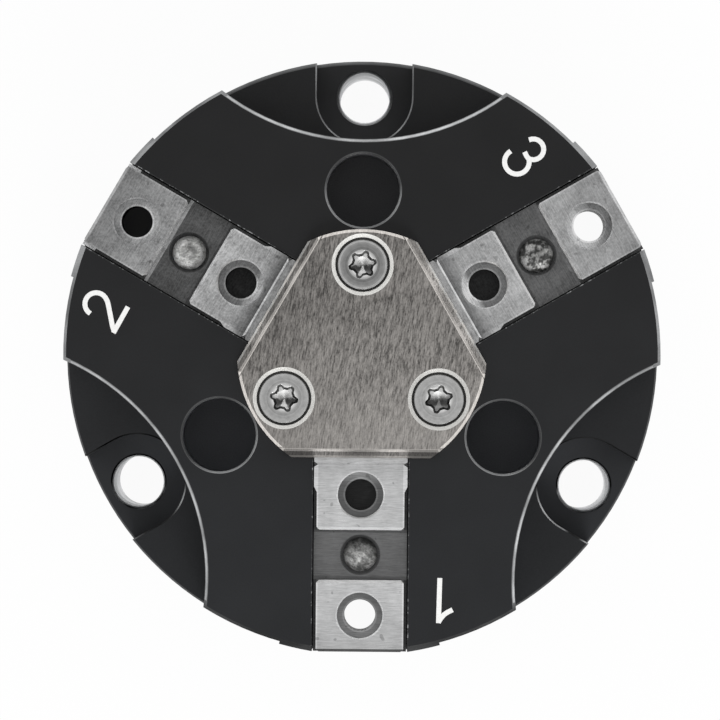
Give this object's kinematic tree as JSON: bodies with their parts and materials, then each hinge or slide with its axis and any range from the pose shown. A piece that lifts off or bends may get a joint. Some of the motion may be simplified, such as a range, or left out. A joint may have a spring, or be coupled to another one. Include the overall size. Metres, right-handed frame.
{
  "type": "three jaw centric gripper",
  "caption": "Round pneumatic gripper whose base jaws slide outwards together in T-slots, driven by a wedge hook and piston, with screw pockets in scalloped corners.",
  "frame": {"origin": "centre of the base, on the mounting face", "axes": "+Z points out of the jaw face, -Y points along jaw 1, jaws 2 and 3 lie at 150 and 30 degrees from +X, and +X points out of the air ports"},
  "size_m": [0.105, 0.105, 0.067],
  "materials": {
    "housing_black": "hard anodised black, satin",
    "plate_steel": "ground, fine vertical grain",
    "screw_steel": "bright zinc plated",
    "jaw_steel": "ground",
    "nipple_steel": "worn, domed",
    "drive_steel": "hardened and ground",
    "dark_screw_steel": "blackened",
    "piston_aluminium": "turned",
    "cover_aluminium": "turned",
    "bush_bronze": "plain bearing bronze",
    "guide_plastic": "filled plastic guide band",
    "rubber_black": "matt rubber"
  },
  "bodies": {
    "body": {"housing": "housing_black", "cover_plate": "plate_steel", "cover_plate_screws": "screw_steel", "partition_plate": "cover_aluminium", "partition_o_ring": "rubber_black", "partition_circlip": "drive_steel", "rod_bush": "bush_bronze", "rod_seal": "rubber_black", "cylinder_cover": "cover_aluminium", "cylinder_cover_screws": "dark_screw_steel", "cylinder_cover_o_ring": "rubber_black", "end_bumper": "rubber_black"},
    "drive": {"piston": "piston_aluminium", "piston_seal": "rubber_black", "piston_guide_ring": "guide_plastic", "wedge_hook": "drive_steel", "wedge_screw": "dark_screw_steel"},
    "jaw_1": {"base_jaw_1": "jaw_steel", "grease_nipple_1": "nipple_steel"},
    "jaw_2": {"base_jaw_2": "jaw_steel", "grease_nipple_2": "nipple_steel"},
    "jaw_3": {"base_jaw_3": "jaw_steel", "grease_nipple_3": "nipple_steel"}
  },
  "joints": [
    {"name": "piston_slide", "type": "slide", "parent": "body", "child": "drive", "axis": [0, 0, 1], "range_m": [0, 0.012]},
    {"name": "jaw_1_slide", "type": "slide", "parent": "body", "child": "jaw_1", "axis": [0, -1, 0], "range_m": [0, 0.008]},
    {"name": "jaw_2_slide", "type": "slide", "parent": "body", "child": "jaw_2", "axis": [-0.866, 0.5, 0], "range_m": [0, 0.008]},
    {"name": "jaw_3_slide", "type": "slide", "parent": "body", "child": "jaw_3", "axis": [0.866, 0.5, 0], "range_m": [0, 0.008]}
  ],
  "couplings": [
    {"joint": "jaw_1_slide", "follows": "piston_slide", "ratio": 0.66667},
    {"joint": "jaw_2_slide", "follows": "piston_slide", "ratio": 0.66667},
    {"joint": "jaw_3_slide", "follows": "piston_slide", "ratio": 0.66667}
  ]
}
